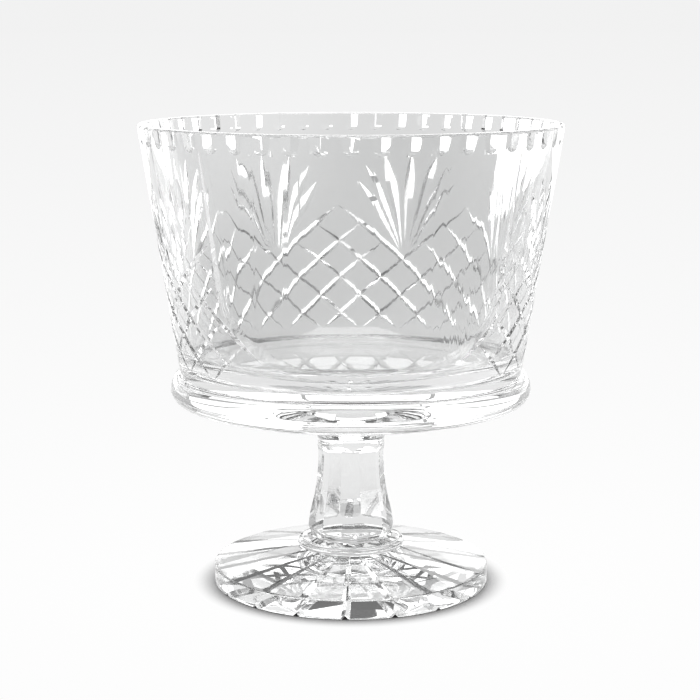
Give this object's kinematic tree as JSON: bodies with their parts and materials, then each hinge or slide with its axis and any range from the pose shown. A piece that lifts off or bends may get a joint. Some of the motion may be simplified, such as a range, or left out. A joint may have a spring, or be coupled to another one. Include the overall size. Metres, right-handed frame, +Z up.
{
  "type": "footed trifle bowl",
  "caption": "Footed bowl in clear cut glass: a flared bowl with crosshatch arches, fans and rim notches on an octagonal stem and a round star-cut foot.",
  "frame": {"origin": "on the table under the middle of the foot, which is the centre of the bounding box's lower face", "axes": "+Z up along the axis of the bowl and stem, -Y towards the bare panel, +X to the right of someone who looks at that panel"},
  "size_m": [0.2, 0.2, 0.222],
  "materials": {
    "crystal": "clear polished cut glass"
  },
  "bodies": {
    "root": {"bowl": "crystal", "upper_collar": "crystal", "stem": "crystal", "lower_collar": "crystal", "foot": "crystal"}
  },
  "joints": []
}
